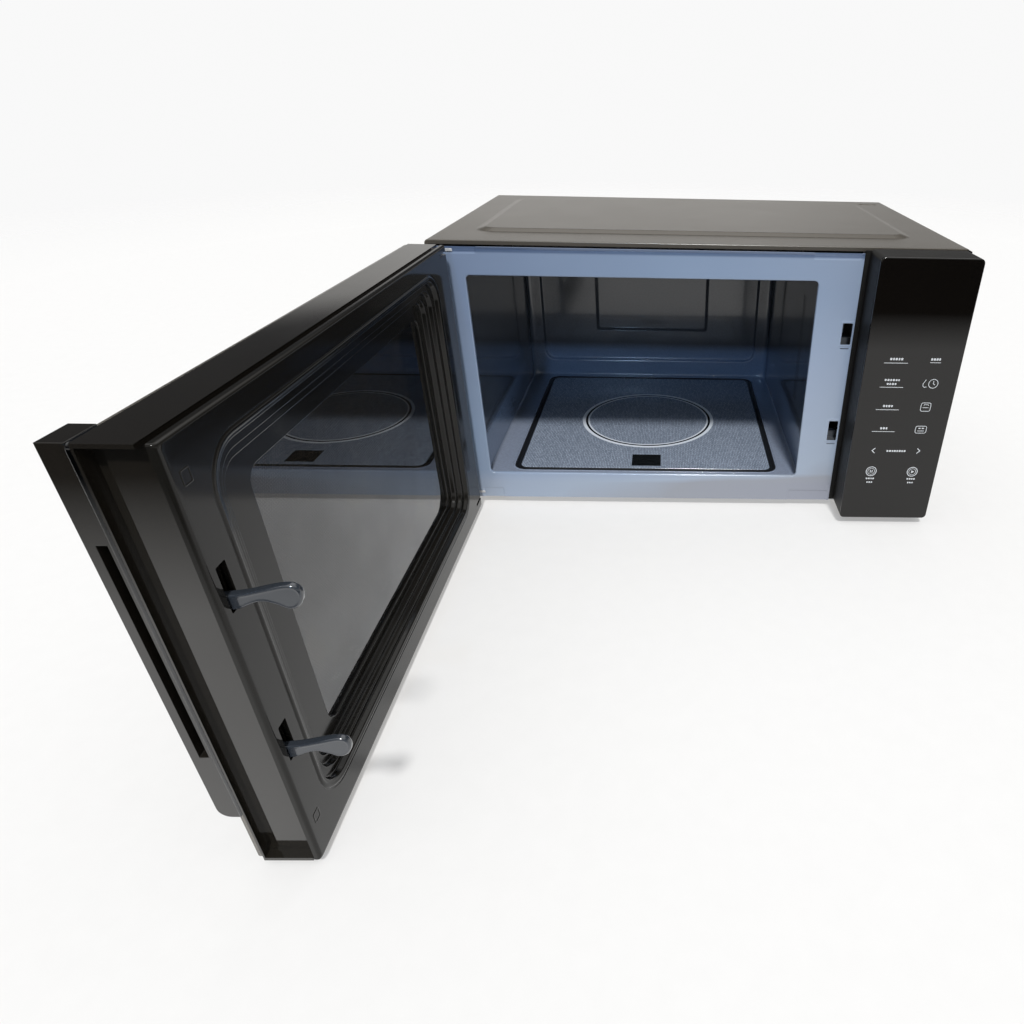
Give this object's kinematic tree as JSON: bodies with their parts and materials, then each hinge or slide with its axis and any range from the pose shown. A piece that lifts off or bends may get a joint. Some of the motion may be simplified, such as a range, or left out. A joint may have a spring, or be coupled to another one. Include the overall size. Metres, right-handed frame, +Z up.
{
  "type": "microwave oven",
  "caption": "Flatbed microwave oven with grill: side-hinged door with slab handle and latch hooks, touch panel, pressed cavity and ceramic floor plate.",
  "frame": {"origin": "centre of the cabinet footprint on the surface that the feet stand on", "axes": "+Z up, -Y out of the front towards the user, +X to the user's right"},
  "size_m": [0.5357, 0.7518, 0.2817],
  "materials": {
    "cabinet_coat": "satin",
    "zinc": "satin",
    "front_coat": "satin",
    "cavity_coat": "satin",
    "ceramic_glass": "satin",
    "seal_black": "matte",
    "black_gloss": "gloss",
    "black_glass": "gloss",
    "clear_glass": "gloss",
    "steel": "brushed",
    "aluminium": "satin",
    "plastic_white": "matte",
    "plastic_black": "matte",
    "board_green": "satin",
    "copper": "satin",
    "core_steel": "matte",
    "ceramic": "matte",
    "lamp_glass": "gloss",
    "rubber_black": "matte",
    "hook_grey": "gloss",
    "duct_plastic": "matte"
  },
  "bodies": {
    "cabinet": {"outer_cabinet": "cabinet_coat", "base_plate": "zinc", "rear_plate": "zinc", "front_plate": "front_coat", "cavity_liner": "cavity_coat", "stirrer_well": "cavity_coat", "floor_plate": "ceramic_glass", "floor_seal": "seal_black", "waveguide": "aluminium", "stirrer_motor": "steel", "grill_pan": "aluminium", "grill_element": "steel", "grill_clips": "ceramic", "control_housing": "black_gloss", "control_fascia": "black_glass", "display_board": "board_green", "control_board": "board_green", "magnetron_yoke": "zinc", "magnetron_core": "aluminium", "magnetron_filter_box": "zinc", "transformer_core": "core_steel", "transformer_windings": "copper", "capacitor": "aluminium", "hv_diode": "plastic_black", "noise_filter_board": "board_green", "mains_fuse": "ceramic", "fan_shroud": "duct_plastic", "fan_motor": "core_steel", "air_duct": "duct_plastic", "lamp_holder": "plastic_white", "cavity_lamp": "lamp_glass", "thermal_cutouts": "plastic_black", "latch_bracket": "plastic_white", "primary_switch": "plastic_black", "secondary_switch": "plastic_black", "monitor_switch": "plastic_black", "upper_hinge_plate": "steel", "lower_hinge_plate": "steel", "hinge_pins": "steel", "feet": "rubber_black", "screws": "steel", "cord_inlet": "plastic_black"},
    "door": {"door_front_glass": "clear_glass", "door_frame": "black_gloss", "door_choke": "steel", "door_screen": "plastic_black", "door_inner_glass": "clear_glass", "door_inner_cover": "black_gloss", "door_handle": "black_gloss", "handle_screws": "steel"},
    "latch": {"latch_lever": "hook_grey", "latch_spring": "steel"},
    "antenna": {"stirrer_antenna": "aluminium"},
    "fan": {"fan_blade": "duct_plastic", "fan_shaft": "steel"},
    "upper_lever": {"upper_interlock_lever": "plastic_white"},
    "lower_lever": {"lower_interlock_lever": "plastic_white"},
    "upper_plunger": {"primary_plunger": "plastic_white"},
    "lower_plunger": {"lower_plungers": "plastic_white"}
  },
  "joints": [
    {"name": "door_hinge", "type": "hinge", "parent": "cabinet", "child": "door", "pos_m": [-0.2475, -0.1815, 0.14], "axis": [0, 0, 1], "range_deg": [-20, 90]},
    {"name": "latch_slide", "type": "slide", "parent": "door", "child": "latch", "axis": [0, 0, 1], "range_m": [0, 0.004], "stiffness_N_per_m": 400, "springref_m": -0.006, "deforming": ["latch_spring"]},
    {"name": "antenna_spin", "type": "hinge", "parent": "cabinet", "child": "antenna", "pos_m": [-0.051, -0.0055, 0.029], "axis": [0, 0, 1], "continuous": true},
    {"name": "fan_spin", "type": "hinge", "parent": "cabinet", "child": "fan", "pos_m": [0.18, 0.072, 0.1], "axis": [0, 1, 0], "continuous": true},
    {"name": "upper_lever_pivot", "type": "hinge", "parent": "cabinet", "child": "upper_lever", "pos_m": [0.148, -0.127, 0.218], "axis": [1, 0, 0], "range_deg": [0, 3.2], "stiffness_Nm_per_rad": 0.02, "springref_deg": -11.46},
    {"name": "lower_lever_pivot", "type": "hinge", "parent": "cabinet", "child": "lower_lever", "pos_m": [0.148, -0.127, 0.1156], "axis": [1, 0, 0], "range_deg": [0, 3.2], "stiffness_Nm_per_rad": 0.02, "springref_deg": -11.46},
    {"name": "upper_plunger_slide", "type": "slide", "parent": "cabinet", "child": "upper_plunger", "axis": [0, 1, 0], "range_m": [0, 0.0011]},
    {"name": "lower_plunger_slide", "type": "slide", "parent": "cabinet", "child": "lower_plunger", "axis": [0, 1, 0], "range_m": [0, 0.0011]}
  ],
  "couplings": [
    {"joint": "upper_plunger_slide", "follows": "upper_lever_pivot", "m_per_rad": 0.018},
    {"joint": "lower_plunger_slide", "follows": "lower_lever_pivot", "m_per_rad": 0.018}
  ]
}
